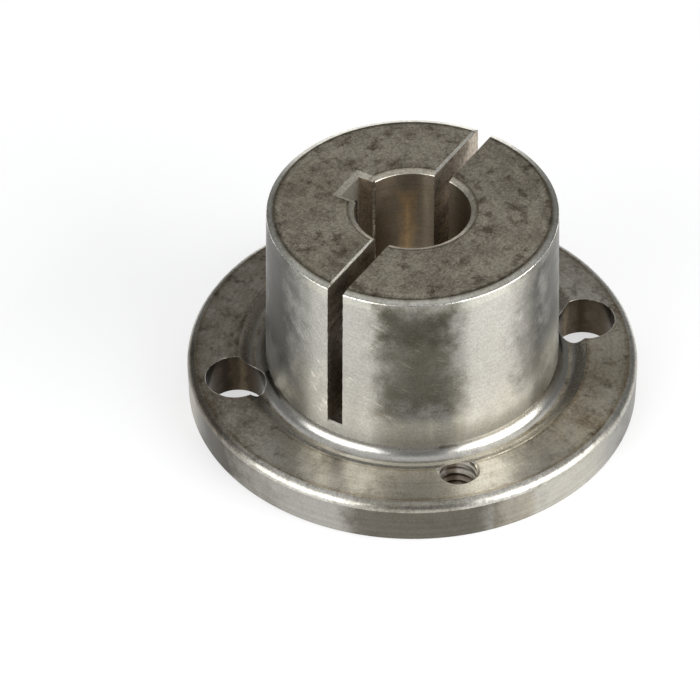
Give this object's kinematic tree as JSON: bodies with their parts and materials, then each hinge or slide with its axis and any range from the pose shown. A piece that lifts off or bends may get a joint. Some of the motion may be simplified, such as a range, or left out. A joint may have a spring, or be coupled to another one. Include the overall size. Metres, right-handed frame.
{
  "type": "split taper bushing",
  "caption": "Flanged split taper bushing with a keyed bore, plain screw holes and tapped jacking holes, for clamping a hub on a shaft.",
  "frame": {"origin": "centre of the bore at the flange's flat back face", "axes": "+Z along the bore from the flange's back to the barrel's small end; the keyway opens towards +Y and the saw cut runs along X"},
  "size_m": [0.0635, 0.0634, 0.0318],
  "materials": {
    "turned_steel": "turned and lightly oiled, dull and mottled on the flat faces, satin on the taper"
  },
  "bodies": {
    "root": {"bushing": "turned_steel"}
  },
  "joints": []
}
